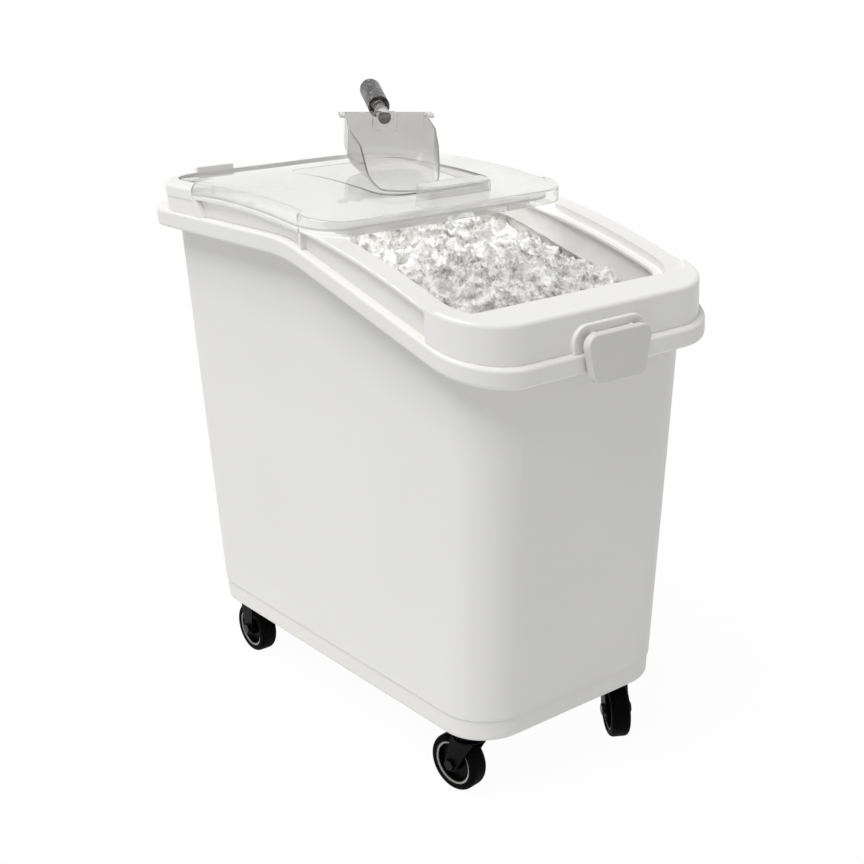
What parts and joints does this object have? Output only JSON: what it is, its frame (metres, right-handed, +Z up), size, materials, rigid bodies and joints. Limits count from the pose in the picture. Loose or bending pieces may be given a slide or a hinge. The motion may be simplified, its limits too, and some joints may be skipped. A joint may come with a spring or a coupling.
{
  "type": "mobile ingredient bin",
  "caption": "Slant-top ingredient bin on casters: tapered tub, lid frame with a clear sliding lid over a fixed one, front latch and a clear scoop resting in the lid.",
  "frame": {"origin": "centre of the whole bin's footprint on the floor", "axes": "+Z up, -Y is the low front with the latch, +X is to the right when one faces the latch from the front"},
  "size_m": [0.394, 0.763, 0.834],
  "materials": {
    "tub_white": "smooth moulded polyethylene, satin",
    "frame_white": "moulded plastic, semi-gloss",
    "latch_white": "moulded plastic, semi-gloss",
    "pin_steel": "plain steel pin",
    "lid_clear": "clear moulded polycarbonate, polished",
    "scoop_clear": "clear moulded polycarbonate, polished",
    "handle_grey": "fine textured moulded plastic",
    "rivet_steel": "plain rivets",
    "screw_zinc": "zinc-plated",
    "tyre_black": "hard black rubber tread, matte",
    "hub_black": "moulded nylon, matte",
    "ring_grey": "pale rim ring, satin",
    "axle_steel": "zinc-plated steel",
    "bracket_black": "black powder-coated pressed steel"
  },
  "bodies": {
    "root": {"tub": "tub_white", "lid_frame": "frame_white", "rear_stop": "frame_white", "rear_lid": "lid_clear", "latch_pin": "pin_steel", "caster_screws": "screw_zinc", "front_left_caster_plate": "bracket_black", "front_left_bearing_race": "bracket_black", "front_left_kingpin": "axle_steel", "front_right_caster_plate": "bracket_black", "front_right_bearing_race": "bracket_black", "front_right_kingpin": "axle_steel", "rear_left_bracket": "bracket_black", "rear_left_axle": "axle_steel", "rear_left_axle_nut": "axle_steel", "rear_right_bracket": "bracket_black", "rear_right_axle": "axle_steel", "rear_right_axle_nut": "axle_steel"},
    "front_lid": {"front_lid": "lid_clear"},
    "latch": {"front_latch": "latch_white"},
    "scoop": {"scoop_bowl": "scoop_clear", "scoop_handle": "handle_grey", "scoop_rivets": "rivet_steel"},
    "front_left_wheel": {"front_left_tyre": "tyre_black", "front_left_wheel_hub": "hub_black", "front_left_rim_rings": "ring_grey"},
    "front_left_swivel": {"front_left_fork": "bracket_black", "front_left_axle": "axle_steel", "front_left_axle_nut": "axle_steel"},
    "front_right_wheel": {"front_right_tyre": "tyre_black", "front_right_wheel_hub": "hub_black", "front_right_rim_rings": "ring_grey"},
    "front_right_swivel": {"front_right_fork": "bracket_black", "front_right_axle": "axle_steel", "front_right_axle_nut": "axle_steel"},
    "rear_left_wheel": {"rear_left_tyre": "tyre_black", "rear_left_wheel_hub": "hub_black", "rear_left_rim_rings": "ring_grey"},
    "rear_right_wheel": {"rear_right_tyre": "tyre_black", "rear_right_wheel_hub": "hub_black", "rear_right_rim_rings": "ring_grey"}
  },
  "joints": [
    {"name": "front_lid_slide", "type": "hinge", "parent": "root", "child": "front_lid", "pos_m": [0, 0.1495, -0.6315], "axis": [1, 0, 0], "range_deg": [0, 9.8]},
    {"name": "latch_hinge", "type": "hinge", "parent": "root", "child": "latch", "pos_m": [0, -0.3675, 0.5945], "axis": [-1, 0, 0], "range_deg": [0, 50]},
    {"name": "scoop_lift", "type": "slide", "parent": "front_lid", "child": "scoop", "axis": [0, 0, 1], "range_m": [0, 0.25]},
    {"name": "front_left_swivel", "type": "hinge", "parent": "root", "child": "front_left_swivel", "pos_m": [-0.123, -0.2455, 0.086], "axis": [0, 0, 1], "continuous": true},
    {"name": "front_left_spin", "type": "hinge", "parent": "front_left_swivel", "child": "front_left_wheel", "pos_m": [-0.12578, -0.2257, 0.0375], "axis": [0.9903, 0.1392, 0], "continuous": true},
    {"name": "front_right_swivel", "type": "hinge", "parent": "root", "child": "front_right_swivel", "pos_m": [0.123, -0.2455, 0.086], "axis": [0, 0, 1], "continuous": true},
    {"name": "front_right_spin", "type": "hinge", "parent": "front_right_swivel", "child": "front_right_wheel", "pos_m": [0.1127, -0.26264, 0.0375], "axis": [-0.8572, 0.515, 0], "continuous": true},
    {"name": "rear_left_spin", "type": "hinge", "parent": "root", "child": "rear_left_wheel", "pos_m": [-0.118, 0.2795, 0.0375], "axis": [1, 0, 0], "continuous": true},
    {"name": "rear_right_spin", "type": "hinge", "parent": "root", "child": "rear_right_wheel", "pos_m": [0.118, 0.2795, 0.0375], "axis": [1, 0, 0], "continuous": true}
  ]
}
